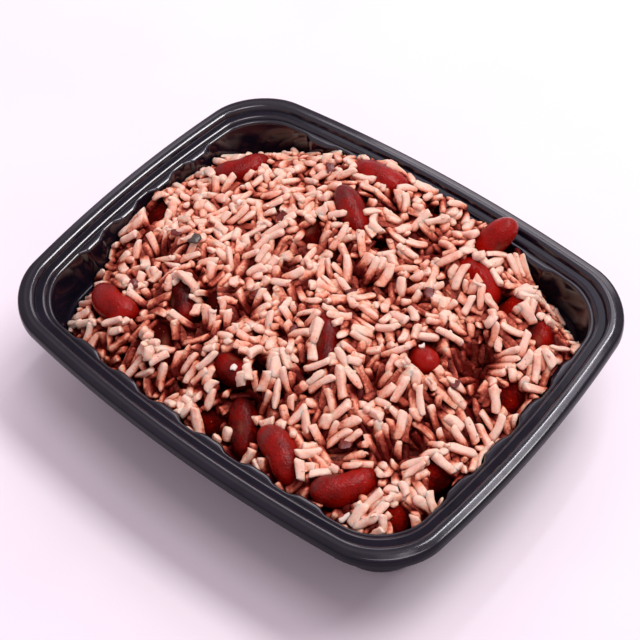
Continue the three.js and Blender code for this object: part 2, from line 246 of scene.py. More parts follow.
def plan(stations, inset, depth):
    """The tray's outline at an inset from the rim, with flutes of this depth, as x and y."""
    half_length, half_width = LENGTH / 2 - inset, WIDTH / 2 - inset
    radius = CORNER_RADIUS - CORNER_RADIUS_LOSS * inset
    share_x, share_y, face_x, face_y, push = stations.T
    x = share_x * (half_length - radius) + radius * face_x
    y = share_y * (half_width - radius) + radius * face_y
    bow = 1 - BOW_LOSS * inset
    along, across = x / half_length, y / half_width
    return np.stack([
        x - END_BOW * bow * along * across**2 - depth * push * face_x,
        y - SIDE_BOW * bow * across * along**2 - depth * push * face_y,
    ], 1)


def rounded(rings, steps=4):
    """Rounds each corner of a section. A ring is inset, height, flute depth and radius."""
    round_most, hold_most, hold_gap = 0.46, 0.48, 0.08  # two shares of an edge, and mm
    out = []
    for i, ring in enumerate(rings):
        here = np.array(ring[:3], float)
        if i in (0, len(rings) - 1) or not ring[3]:
            out.append(here)
            continue
        before, after = (np.array(rings[j][:3], float) for j in (i - 1, i + 1))
        ends, holds = [], []
        for other in (before, after):
            reach = np.linalg.norm((other - here)[:2])
            share = min(round_most, ring[3] / reach)
            ends.append(here + (other - here) * share)
            # one more ring close by keeps the flat part beside the round flat
            holds.append(here + (other - here) * min(hold_most, share + hold_gap / reach))
        out.append(holds[0])
        for t in np.linspace(0, 1, steps):
            out.append((1 - t) ** 2 * ends[0] + 2 * t * (1 - t) * here + t * t * ends[1])
        out.append(holds[1])
    return out


def tray_mesh():
    """The tray as points, quads and triangles, and how polished it is at each point."""
    ledge, groove = HEIGHT - LEDGE_DROP, HEIGHT - GROOVE_DROP
    shoulder, lip = HEIGHT - SHOULDER_DROP, HEIGHT - SKIRT_DROP
    shoulder_inner = SHOULDER_OUTER + SHOULDER_STEP
    foot_top = 2 * FOOT_RADIUS
    crisp = 0.07  # the radius of an inside corner
    rings = rounded([
        (BASE_INSET, 0, 0, 0),
        (FOOT_INSET + FOOT_RADIUS, 0, 0, 0.9),
        (FOOT_INSET - SHEET / 2, SHEET, 0, 0.7),
        (FOOT_INSET - 2 * SHEET, foot_top, FLUTE_DEPTH / 2, 0.9),
        (shoulder_inner - SHEET, shoulder - SHEET, FLUTE_DEPTH, 0.5),
        (SHOULDER_OUTER - SHEET, shoulder, FLUTE_DEPTH, 0.5),
        (LEDGE_INNER - SHEET / 2, ledge - SHEET, FLUTE_DEPTH, 0.4),
        (LEDGE_OUTER - SHEET, ledge - SHEET, 0, 0.3),
        (GROOVE_INNER - SHEET, groove - SHEET, 0, 0.3),
        (BEAD_INNER, groove - SHEET, 0, 0.3),
        (BEAD_INNER - BEAD_SLOPE, HEIGHT - SHEET, 0, 0.4),
        (BEAD_OUTER, HEIGHT - SHEET, 0, 0.5),
        (SHEET, lip, 0, 0.12),
        (0, lip, 0, 0.12),
        (0, HEIGHT - 1.7, 0, 0.5),
        (0.3, HEIGHT - 0.3, 0, 0.6),
        (BEAD_OUTER, HEIGHT, 0, 0.4),
        (BEAD_INNER, HEIGHT, 0, 0.75),
        (BEAD_INNER + BEAD_SLOPE, groove, 0, crisp),
        (GROOVE_INNER, groove, 0, 0.6),
        (LEDGE_OUTER, ledge, 0, crisp),
        (LEDGE_INNER, ledge, FLUTE_DEPTH, 0.8),
        (SHOULDER_OUTER, shoulder, FLUTE_DEPTH, 0.6),
        (shoulder_inner, shoulder - SHEET, FLUTE_DEPTH, 0.5),
        (FOOT_INSET - SHEET, foot_top, FLUTE_DEPTH / 2, 1.0),
        (FOOT_INSET + FOOT_RADIUS, SHEET, 0, 1.2),
        (BASE_INSET, SHEET, 0, 0),
    ])
    marks = (np.arange(FLUTE_MARKS) + 0.5) / FLUTE_MARKS - 0.5
    stations = tray_stations(CORNER_STEPS, marks)
    points = np.concatenate([
        np.column_stack([plan(stations, inset, depth), np.full(len(stations), height)])
        for inset, height, depth in rings
    ])
    bottom = [0, 0, rings[0][1]]
    floor = [0, 0, rings[-1][1]]
    quads, triangles = ring_faces(len(rings), len(stations))
    gloss = np.interp([ring[0] for ring in rings], *zip(*GLOSS))
    gloss = np.concatenate([np.repeat(gloss, len(stations)), gloss[[0, -1]]])
    return (np.vstack([points, bottom, floor]), quads, triangles), gloss


# ---------------- where things lie

CELL = 0.3
GRID_X = np.arange(-LENGTH / 2, LENGTH / 2 + CELL, CELL)
GRID_Y = np.arange(-WIDTH / 2, WIDTH / 2 + CELL, CELL)


def heap_level(x, y):
    """The height of the heap's general form at places in the plan."""
    fall_x = np.minimum(1, abs((x - RICE_PEAK[0]) / RICE_REACH[0]) ** RICE_FALL)
    fall_y = np.minimum(1, abs((y - RICE_PEAK[1]) / RICE_REACH[1]) ** RICE_FALL)
    level = RICE_EDGE_LEVEL + RICE_RISE * (1 - fall_x) * (1 - fall_y)
    for hollow_x, hollow_y, depth, radius in HOLLOWS:
        reach = np.hypot(x - hollow_x, y - hollow_y) / radius
        level = level - depth * np.exp(-0.5 * reach**2)
    return level


def dips(x, y, places):
    """How far a set of round hollows takes the heap down."""
    down = np.zeros_like(x)
    for at_x, at_y, depth, radius in places:
        down = down + depth * np.exp(-0.5 * ((x - at_x) ** 2 + (y - at_y) ** 2) / radius**2)
    return down


def spread(values, reach, pick=np.maximum):
    """The greatest value, or by np.minimum the least, within some cells of each cell."""
    for axis in (0, 1):
        shifted = [np.roll(values, step, axis) for step in range(-reach, reach + 1)]
        values = pick.reduce(shifted)
    return values


def at_cells(values, x, y):
    """The values of the cells that places lie in."""
    i = np.clip(np.rint((x - GRID_X[0]) / CELL).astype(int), 0, len(GRID_X) - 1)
    j = np.clip(np.rint((y - GRID_Y[0]) / CELL).astype(int), 0, len(GRID_Y) - 1)
    return values[i, j]


def fall_on(points, quads, triangles, lowest=-math.inf):
    """The height at which a drop from above meets a mesh, for each cell of the grid."""
    faces = [tuple(q) for q in quads.tolist()] + [tuple(t) for t in triangles.tolist()]
    tree = BVHTree.FromPolygons([tuple(p) for p in points.tolist()], faces)
    low, high = points.min(0), points.max(0)
    met = np.full((len(GRID_X), len(GRID_Y)), lowest)
    down = Vector((0, 0, -1))
    for i in np.flatnonzero((GRID_X >= low[0]) & (GRID_X <= high[0])):
        for j in np.flatnonzero((GRID_Y >= low[1]) & (GRID_Y <= high[1])):
            hit = tree.ray_cast(Vector((GRID_X[i], GRID_Y[j], high[2] + 1)), down)[0]
            if hit is not None:
                met[i, j] = hit.z
    return met


def smooth_field(spacing, low=-1.0, high=1.0):
    """A smooth random field over the grid, with bumps about this far apart."""
    coarse = random.uniform(low, high, (int(LENGTH / spacing) + 4, int(WIDTH / spacing) + 4))
    at_x = (GRID_X - GRID_X[0]) / spacing + 1
    at_y = (GRID_Y - GRID_Y[0]) / spacing + 1
    def ease(at, values):
        base = np.floor(at).astype(int)
        t = at - base
        t = t * t * (3 - 2 * t)
        return values[base] * (1 - t)[:, None] + values[base + 1] * t[:, None]
    return ease(at_y, ease(at_x, coarse).T).T


# ---------------- kidney beans

BEAN_RINGS, BEAN_AROUND = 36, 40


def bean_place(node):
    """A bean's middle, its three axes and its length, from its CAD node."""
    points = np.array([v.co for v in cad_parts[node].data.vertices], float) / MM
    points = np.unique(points.round(4), axis=0)
    apart = np.linalg.norm(points[:, None] - points[None], axis=2)
    first, last = np.unravel_index(apart.argmax(), apart.shape)
    length = apart[first, last]
    along = (points[last] - points[first]) / length
    middle = (points[first] + points[last]) / 2
    offset = points - middle
    across = offset - np.outer(offset @ along, along)
    side = -across.mean(0)
    side -= along * (side @ along)
    side /= np.linalg.norm(side)
    return middle - side * 0.6 * BEAN_BEND, np.array([along, side, np.cross(along, side)]), length


def off_bean(node, x, y):
    """How far places in the plan are from the outline of a bean."""
    middle, axes, length = bean_place(node)
    half = axes[0][:2] * max(0, length / 2 - BEAN_WIDTH / 2)
    reach = max(half @ half, 1e-6)
    share = np.clip(((x - middle[0]) * half[0] + (y - middle[1]) * half[1]) / reach, -1, 1)
    apart = np.hypot(x - middle[0] - share * half[0], y - middle[1] - share * half[1])
    return apart - BEAN_WIDTH / 2


def bean_mesh(node):
    """A bean in place, its points in its own axes, and where its scar is, from 0 to 1."""
    middle, axes, length = bean_place(node)
    sway, lump = random.uniform(0, 2 * math.pi, 4), random.uniform(0.5, 1, 2)
    u = -np.cos(np.linspace(0, math.pi, BEAN_RINGS + 2))[1:-1, None]
    angle = np.linspace(0, 2 * math.pi, BEAN_AROUND, endpoint=False)[None]
    fullness = (1 - abs(u) ** BEAN_FULLNESS) ** 0.5
    fullness = fullness * (
        1 + 0.018 * lump[0] * np.sin(3 * u + 2 * angle + sway[0])
        + 0.012 * lump[1] * np.sin(5 * u - 3 * angle + sway[1])
    )
    side, rise = np.cos(angle) * fullness, np.sin(angle) * fullness
    pinch = BEAN_NOTCH * np.maximum(0, side) * np.exp(-((u / 0.4) ** 2))
    local = np.stack(np.broadcast_arrays(
        u * length / 2,
        side * BEAN_WIDTH / 2 - pinch + BEAN_BEND * (u**2 - 0.4),
        rise * BEAN_THICKNESS / 2,
    ), 2)
    # the scar where the bean grew on its pod, inside the bend
    scar = (side > 0) * np.exp(
        -((local[..., 0] / SCAR_LENGTH) ** 2) - (local[..., 2] / SCAR_WIDTH) ** 2)
    local[..., 1] -= SCAR_DEPTH * scar
    poles = np.array([[-length / 2, 0.6 * BEAN_BEND, 0], [length / 2, 0.6 * BEAN_BEND, 0]])
    local = np.vstack([local.reshape(-1, 3), poles])
    quads, triangles = ring_faces(BEAN_RINGS, BEAN_AROUND)
    return {
        "points": middle + local @ axes,
        "quads": quads,
        "triangles": triangles,
        "local": local,
        "scar": np.append(scar.ravel(), [0, 0]),
    }


# ---------------- rice

GRAIN_RINGS, GRAIN_AROUND = 10, 12
GRAIN_WIDTH, GRAIN_THICKNESS = 2.3, 1.95
YAWS, PITCHES = 24, np.radians(np.arange(-60, 61, 10))
PRESS = 0.5  # grains are so soft that they touch as if their section were this share of it
CORE_DEPTH = 4.5
SPARSE = 0.6  # how much less the pits are filled, per mm of their depth
FILLED = 1.0  # a place is filled once the grains reach this far below the level wanted
MAIN_LEAN = math.radians(-45)  # the way that most grains lie in the plan
MOST_GRAINS, MOST_IN_A_PIECE = 2700, 700
SETTLE = 0.15  # how far each grain sinks into the ones below
SHARE_STANDING, SHARE_OF_FANS = 0.25, 0.45
TRIES, LOWEST_TRIES = 10, 4  # places drawn for each grain, and the lowest ones it tries
COVER_MISSES, MISSES = 60, 500  # grains that find no place before the laying ends
KINDS = ((8.6, 0.38), (7.5, 0.34), (6.0, 0.18), (4.2, 0.10))  # length, share of the grains
STEEP = 0.45  # a pitch in radians that makes a grain stand up rather than lie
# How far a grain may stand above the level wanted: one that lies as it fell, one that
# stands up, and one that hides a bean
LOFT = {"plain": 1.6, "lofty": 3.0, "covering": 1.6}


def turns(length):
    """A grain's lower and upper surface on the grid, for each way that it may lie."""
    reach = int(math.ceil(length / 2 / CELL))
    cells = np.arange(-reach, reach + 1) * CELL
    dx, dy = np.meshgrid(cells, cells, indexing="ij")
    yaw = (np.arange(YAWS) * math.pi / YAWS)[:, None, None, None]
    pitch = PITCHES[None, :, None, None]
    a = dx * np.cos(yaw) + dy * np.sin(yaw)
    b = -dx * np.sin(yaw) + dy * np.cos(yaw)
    middle = a * np.tan(pitch)
    surfaces = []
    for share, side in ((PRESS, -1), (1, 1)):
        s = np.clip(abs(a / np.cos(pitch)) / (length / 2 * (0.5 + share / 2)), 0, 1)
        full = (1 - s**8) ** 0.5 * share
        width = np.maximum(full * GRAIN_WIDTH / 2, 1e-6)
        round_off = np.sqrt(np.clip(1 - abs(b / width) ** 2.5, 0, 1))
        bulge = full * GRAIN_THICKNESS / 2 / np.cos(pitch) * round_off
        inside = (s < 1) & (abs(b) < width)
        surfaces.append(np.where(inside, middle + side * bulge, -side * math.inf))
    return reach, *surfaces


def lay_grains(ground, target, cover, filled, most):
    """Grains fall where the heap is lowest and lie as low as they can, alone or in fans."""
    shapes = [turns(length) for length, _ in KINDS]
    shares = [share for _, share in KINDS]
    drift = MAIN_LEAN + smooth_field(10, -1.0, 1.0)
    surface = ground.copy()
    laid = []

    def window(kind, i, j):
        """The cells around a place that a grain of a kind may cover."""
        reach = shapes[kind][0]
        if not all(reach <= at < size - reach for at, size in zip((i, j), surface.shape)):
            return None
        return np.s_[i - reach:i + reach + 1, j - reach:j + reach + 1]

    def over_target(kind, patch, way, tilt, z):
        over = z + shapes[kind][2][way, tilt] - target[patch]
        return over[np.isfinite(over)].max()

    def keep(kind, i, j, way, tilt, z):
        patch = window(kind, i, j)
        surface[patch] = np.maximum(surface[patch], z + shapes[kind][2][way, tilt] - SETTLE)
        laid.append((kind, GRID_X[i], GRID_Y[j], z, way * math.pi / YAWS, PITCHES[tilt]))

    def best_place(kind, tries, manner):
        """The lowest place for a grain, of a few, with a wish for how it is pitched."""
        best = None
        _, lower, _ = shapes[kind]
        wish = {
            "plain": random.normal(0, 0.9, len(PITCHES)),
            "lofty": 2.5 * (abs(PITCHES) < STEEP) + random.normal(0, 0.5, len(PITCHES)),
            "covering": 3.0 * (abs(PITCHES) > 0.6),
        }[manner]
        for i, j in tries:
            patch = window(kind, i, j)
            if patch is None:
                continue
            if manner == "plain":
                yaw = int(round((drift[i, j] + random.normal(0, 0.6)) / math.pi * YAWS))
                ways = np.array([yaw - 1, yaw, yaw + 1]) % YAWS
            else:
                ways = random.integers(0, YAWS, 3 if manner == "lofty" else 6)
            rest = (surface[patch] - lower[ways]).max(axis=(2, 3))
            way, tilt = np.unravel_index((rest + wish).argmin(), rest.shape)
            z = rest[way, tilt]
            way = ways[way]
            if over_target(kind, patch, way, tilt, z) > LOFT[manner]:
                continue
            if best is None or z - target[i, j] < best[0]:
                best = (z - target[i, j], i, j, way, tilt, z)
        return best

    def fan_out(kind, i, j, way, tilt, z, before):
        """Grains stuck to one side of a grain, nearly in line with it."""
        side = random.choice([-1, 1])
        for step in range(1, random.integers(1, 4) + 1):
            other = random.choice(len(KINDS), p=shares)
            turn = (way + side * random.integers(0, 2)) % YAWS
            angle = way * math.pi / YAWS
            across = side * step * random.uniform(0.5, 0.8) * GRAIN_WIDTH
            along = random.normal(0, 1.2)
            at_i = i + round((-math.sin(angle) * across + math.cos(angle) * along) / CELL)
            at_j = j + round((math.cos(angle) * across + math.sin(angle) * along) / CELL)
            patch = window(other, at_i, at_j)
            if patch is None:
                return
            rest = (before[patch] - shapes[other][1][turn, tilt]).max()
            lift = max(rest, z + random.normal(0, 0.35))
            if lift > z + 0.8 or over_target(other, patch, turn, tilt, lift) > 1.9:
                return
            keep(other, at_i, at_j, turn, tilt, lift)

    def fill(where, lack_allowed, misses_allowed):
        """Lays grains until the surface lacks no more than this below the target."""
        misses = 0
        open_cells = np.argwhere(where & (target - surface > lack_allowed))
        while len(laid) < most and misses < misses_allowed and len(open_cells):
            kind = random.choice(len(KINDS), p=shares)
            if where is cover:
                manner = "covering"
                kind = random.integers(1, len(KINDS))
            else:
                manner = "lofty" if random.random() < SHARE_STANDING else "plain"
            tries = open_cells[random.integers(0, len(open_cells), TRIES)]
            lack = target[tries[:, 0], tries[:, 1]] - surface[tries[:, 0], tries[:, 1]]
            best = best_place(kind, tries[np.argsort(-lack)][:LOWEST_TRIES], manner)
            if best is None:
                misses += 1
            else:
                misses = 0
                fans = manner == "plain" and random.random() < SHARE_OF_FANS
                before = surface.copy() if fans else None
                keep(kind, *best[1:])
                if fans:
                    fan_out(kind, *best[1:], before)
            if len(laid) % 20 < 3:  # looked at again now and then, as it is slow
                open_cells = np.argwhere(where & (target - surface > lack_allowed))

    fill(cover, filled + 0.3, COVER_MISSES)
    fill(np.ones_like(cover), filled, MISSES)
    return laid, surface


def grain_shapes(lengths, width=GRAIN_WIDTH, thickness=GRAIN_THICKNESS):
    """Many grains of cooked rice, each its own: straight-sided, ridged, cut or tapered."""
    count = len(lengths)

    def each(low, high, power=1):
        return low + (high - low) * random.uniform(0, 1, count)[:, None, None] ** power

    # rings along the grain, closer together near its ends; u runs from -1 to 1
    u = np.sin(np.linspace(-1, 1, GRAIN_RINGS + 2)[1:-1] * math.pi / 2)[None, :, None]
    angle = np.linspace(0, 2 * math.pi, GRAIN_AROUND, endpoint=False)[None, None]
    blunt = np.where(u < 0, each(4, 34), each(4, 34))
    fullness = (1 - abs(u) ** blunt) ** 0.5
    for end in (-1, 1):
        fullness = fullness * (1 - each(0, 0.5, 5) * np.clip((end * u - 0.2) / 0.8, 0, 1))
    fullness = fullness * (1 + each(-0.09, 0.09) * np.cos(each(2, 5) * u + each(0, 6)))
    # the section is a rounded square with ridges, and in some a crease
    square, twist = each(2.5, 6.0), each(-0.35, 0.35) * u + each(0, 6)
    turned_by = angle + twist
    cos, sin = abs(np.cos(turned_by)), abs(np.sin(turned_by))
    section = (cos**square + sin**square) ** (-1 / square)
    section = section * (1 + each(0, 0.14) * np.cos(3 * angle + each(0, 6) + each(-1, 1) * u))
    section = section * (1 + each(0, 0.09) * np.cos(5 * angle + each(0, 6) + 2 * u))
    off_crease = (angle - each(0, 2 * math.pi) + math.pi) % (2 * math.pi) - math.pi
    section = section * (1 - each(0, 0.5, 3) * np.exp(-((off_crease / 0.45) ** 2)))
    ragged = 1 + each(0, 0.4) * np.sin(3 * angle + each(0, 6)) * abs(u) ** 5
    lump = 1 + each(0, 0.11) * np.sin(6 * u + 2 * angle + each(0, 6))
    radius = fullness * section * ragged * lump * 0.93
    y = radius * np.cos(angle) * width / 2 * each(0.85, 1.3)
    z = radius * np.sin(angle) * thickness / 2 * each(0.75, 1.12)
    # cut at a slant, bent and sagging
    half = lengths[:, None, None] / 2
    slant = np.where(u < 0, each(-0.7, 0.7), each(-0.7, 0.7))
    x = u * half + slant * y * abs(u) ** 8
    bend, sag = each(-0.55, 0.55), each(-0.35, 0.35)
    y, z = y + bend * (u**2 - 0.33), z + sag * (u**2 - 0.33)
    tube = np.stack(np.broadcast_arrays(x, y, z), 3).reshape(count, -1, 3)
    start, end = (
        np.concatenate([side * half, bend * 0.67, sag * 0.67], 2) for side in (-1, 1)
    )
    return np.concatenate([tube, start, end], 1)


def turned(shapes, roll, pitch, yaw):
    """Each shape rolled about its length, then pitched, then turned about the vertical."""
    x, y, z = np.moveaxis(shapes, 2, 0)
    cos, sin = (f(np.array(roll))[:, None] for f in (np.cos, np.sin))
    y, z = y * cos - z * sin, y * sin + z * cos
    cos, sin = (f(np.array(pitch))[:, None] for f in (np.cos, np.sin))
    x, z = x * cos - z * sin, x * sin + z * cos
    cos, sin = (f(np.array(yaw))[:, None] for f in (np.cos, np.sin))
    x, y = x * cos - y * sin, x * sin + y * cos
    return np.stack([x, y, z], 2)


# ---------------- materials


class Shader:
    """A material with a Principled shader and short ways to add nodes to it."""

    def __init__(self, name, **values):
        self.material = bpy.data.materials.new(name)
        self.material.use_nodes = True
        self.tree = self.material.node_tree
        self.surface = self.tree.nodes["Principled BSDF"]
        for socket, value in values.items():
            self.surface.inputs[socket.replace("_", " ")].default_value = value

    def node(self, kind, **inputs):
        made = self.tree.nodes.new("ShaderNode" + kind)
        for key, value in inputs.items():
            if hasattr(made, key):
                setattr(made, key, value)
                continue
            # in0, in1 and so on are sockets by their number, and any other is by its name
            numbered = key.startswith("in")
            socket = made.inputs[int(key[2:]) if numbered else key.replace("_", " ")]
            if isinstance(value, bpy.types.NodeSocket):
                self.tree.links.new(value, socket)
            else:
                socket.default_value = value
        return made

    def field(self, name):
        return self.node("Attribute", attribute_name=name).outputs["Fac"]

    def position(self):
        return self.node("TexCoord").outputs["Object"]

    def noise(self, size, detail=3, roughness=0.5, vector=None):
        """Noise from 0 to 1 with features of about this size in mm."""
        made = self.node("TexNoise", Vector=vector or self.position(), Scale=1 / (size * MM),
                         Detail=detail, Roughness=roughness)
        return made.outputs["Fac"]

    def math(self, operation, a, b=0.0, clamp=False):
        made = self.node("Math", operation=operation, in0=a, in1=b)
        made.use_clamp = clamp
        return made.outputs[0]

    def remap(self, value, low, high, to_low=0.0, to_high=1.0):
        made = self.node("MapRange", Value=value, From_Min=low, From_Max=high,
                         To_Min=to_low, To_Max=to_high)
        return made.outputs[0]

    def mix(self, factor, first, second):
        made = self.node("Mix", data_type="RGBA")
        sockets = (made.inputs[number] for number in (0, 6, 7))  # the ones for colours
        for socket, value in zip(sockets, (factor, first, second)):
            if isinstance(value, bpy.types.NodeSocket):
                self.tree.links.new(value, socket)
            else:
                socket.default_value = value if isinstance(value, float) else (*value, 1)
        return made.outputs[2]

    def bump(self, height, distance, strength=1.0, normal=None):
        made = self.node("Bump", Height=height, Distance=distance * MM, Strength=strength)
        if normal is not None:
            self.tree.links.new(normal, made.inputs["Normal"])
        return made.outputs[0]

    def into(self, **sockets):
        for socket, value in sockets.items():
            self.tree.links.new(value, self.surface.inputs[socket.replace("_", " ")])
        return self.material


def rice_material():
    s = Shader("cooked rice", Subsurface_Weight=0.55, Subsurface_Scale=MM,
               Subsurface_Radius=(2.0, 0.65, 0.4), IOR=1.36)
    tone, deep = s.field("tone"), s.field("deep")
    broad, middle, fine = s.noise(12, 2), s.noise(3.2, 3, 0.6), s.noise(0.8, 5, 0.65)
    # how stained and shaded it is: by the grain, by how deep it lies, and by patches of three
    # sizes; the darkening by depth is partly a stain and partly painted shade in the crevices
    stain_and_shade = s.math("ADD", s.remap(tone, 0.0, 1.0, -0.10, 0.16), s.remap(deep, 0.0, 1.0))
    stain_and_shade = s.math("ADD", stain_and_shade, s.remap(broad, 0.3, 0.7, -0.10, 0.16))
    stain_and_shade = s.math("ADD", stain_and_shade, s.remap(middle, 0.3, 0.7, -0.12, 0.16))
    stain_and_shade = s.math("ADD", stain_and_shade, s.remap(fine, 0.3, 0.7, -0.10, 0.10), clamp=True)
    # painted shade: the darker stops are reached mostly deep in the crevices, where they stand
    # partly for shade
    pale = s.mix(s.remap(stain_and_shade, 0.10, 0.44), (0.96, 0.61, 0.485), (0.85, 0.345, 0.22))
    shaded = s.mix(s.remap(stain_and_shade, 0.44, 0.66), pale, (0.43, 0.085, 0.050))
    colour = s.mix(s.remap(stain_and_shade, 0.66, 1.0), shaded, (0.10, 0.005, 0.003))
    speck = s.node("TexVoronoi", Vector=s.position(), Scale=1 / (1.3 * MM))
    spot = s.remap(speck.outputs["Distance"], 0.17, 0.09)
    spot = s.math("MULTIPLY", spot, s.remap(s.noise(5, 2), 0.50, 0.56))
    colour = s.mix(s.math("MULTIPLY", spot, 0.75), colour, (0.16, 0.03, 0.016))
    rough = s.remap(s.noise(0.8, 3), 0.3, 0.7, 0.22, 0.45)
    height = s.math("ADD", s.noise(0.6, 5, 0.65), s.math("MULTIPLY", s.noise(1.8, 2), 1.2))
    soft = s.node("Bevel", samples=4, Radius=0.28 * MM).outputs[0]
    shine = s.remap(deep, 0.0, 0.5, 0.5, 0.12)
    return s.into(Base_Color=colour, Roughness=rough, Specular_IOR_Level=shine,
                  Normal=s.bump(height, 0.22, 0.8, soft))


def bean_material():
    s = Shader("kidney bean skin", Subsurface_Weight=0.03, Subsurface_Scale=MM,
               Subsurface_Radius=(1.2, 0.2, 0.1), IOR=1.34)
    tone, scar = s.field("tone"), s.field("scar")
    # a place on the bean in its own axes
    along = s.node("CombineXYZ", in0=s.field("at_x"), in1=s.field("at_y"),
                   in2=s.field("at_z")).outputs[0]
    broad = s.noise(6, 3, 0.5, along)
    fine = s.noise(0.8, 5, 0.65, along)
    stain_and_shade = s.math("ADD", s.remap(broad, 0.3, 0.7, -0.35, 0.35), tone)
    stain_and_shade = s.math("ADD", stain_and_shade, s.remap(fine, 0.3, 0.7, -0.18, 0.18), clamp=True)
    colour = s.mix(stain_and_shade, (0.30, 0.0046, 0.0016), (0.035, 0.0012, 0.0008))
    # painted reflection: a mauve-grey sheen mixed into the skin's colour in patches towards one
    # end
    sheen_share = s.math("MULTIPLY", s.field("milky"), s.remap(s.noise(3, 4, 0.6, along), 0.35, 0.65))
    colour = s.mix(s.math("MULTIPLY", sheen_share, 0.8), colour, (0.13, 0.042, 0.040))
    colour = s.mix(s.math("MULTIPLY", scar, 0.7), colour, (0.20, 0.05, 0.03))
    speck = s.node("TexVoronoi", Vector=s.position(), Scale=1 / (1.3 * MM))
    spot = s.remap(speck.outputs["Distance"], 0.16, 0.08)
    spot = s.math("MULTIPLY", spot, s.remap(s.noise(4, 2), 0.56, 0.62))
    colour = s.mix(s.math("MULTIPLY", spot, 0.5), colour, (0.6, 0.10, 0.05))
    pebble = s.node("TexVoronoi", Vector=along, Scale=1 / (0.55 * MM),
                    feature="SMOOTH_F1").outputs["Distance"]
    wrinkle = s.noise(2.4, 2, 0.5, along)
    height = s.math("ADD", pebble, s.noise(0.45, 3, 0.6, along))
    height = s.math("ADD", height, s.math("MULTIPLY", wrinkle, 1.8))
    rough = s.remap(s.noise(1.6, 4, 0.6, along), 0.3, 0.7, 0.04, 0.14)
    shine = s.remap(s.field("deep"), 0.0, 0.4, 0.36, 0.02)
    shine = s.math("MULTIPLY", shine, s.remap(tone, 0.2, 1.0, 1.0, 0.3))
    return s.into(Base_Color=colour, Roughness=rough, Specular_IOR_Level=shine,
                  Normal=s.bump(height, 0.14, 0.9))


def shaded_core_material():
    # painted shade: the rice under the loose grains is near-black red, as rice in shade deep
    # between them would look
    s = Shader("rice underneath", IOR=1.12)
    patches = s.remap(s.noise(2.2, 4), 0.35, 0.7)
    colour = s.mix(patches, (0.030, 0.003, 0.002), (0.110, 0.012, 0.006))
    rough = s.remap(s.noise(1.5), 0.3, 0.7, 0.45, 0.7)
    return s.into(Base_Color=colour, Roughness=rough, Normal=s.bump(s.noise(1.6, 4, 0.6), 0.8))


def scrap_material(name, first, second, rough):
    s = Shader(name, Subsurface_Weight=0.15, Subsurface_Scale=MM,
               Subsurface_Radius=(1.0, 0.6, 0.4), Coat_Weight=0.12, Coat_Roughness=0.12)
    colour = s.mix(s.remap(s.noise(1.2, 4, 0.6), 0.3, 0.7), first, second)
    roughness = s.remap(s.noise(0.9), 0.3, 0.7, rough, rough + 0.2)
    return s.into(Base_Color=colour, Roughness=roughness,
                  Normal=s.bump(s.noise(0.5, 4, 0.6), 0.2, 0.8))


def tray_material():
    s = Shader("black moulded plastic", IOR=1.45)
    patches = s.remap(s.noise(9, 4), 0.3, 0.7)
    colour = s.mix(patches, (0.0055, 0.0045, 0.0090), (0.0095, 0.0075, 0.0150))
    rough = s.remap(s.noise(3.5, 5, 0.6), 0.3, 0.7, 0.08, 0.16)
    height = s.math("ADD", s.noise(9, 2), s.math("MULTIPLY", s.noise(0.6, 3), 0.02))
    shine = s.math("MULTIPLY", s.field("gloss"), 0.5)
    return s.into(Base_Color=colour, Roughness=rough, Specular_IOR_Level=shine,
                  Normal=s.bump(height, 0.05, 0.3))


def floor_material():
    s = Shader("pale table", Specular_IOR_Level=0.25)
    patches = s.remap(s.noise(60, 3), 0.3, 0.7)
    colour = s.mix(patches, (0.85, 0.78, 0.84), (0.88, 0.81, 0.87))
    rough = s.remap(s.noise(20), 0.3, 0.7, 0.65, 0.8)
    return s.into(Base_Color=colour, Roughness=rough, Normal=s.bump(s.noise(1.2, 3), 0.05, 0.4))


# ---------------- the pieces

tray_parts, gloss = tray_mesh()
tray = make_mesh("tray_shell", *tray_parts, {"gloss": gloss})
tray.data.materials.append(tray_material())
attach(tray, "root")
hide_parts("tray")

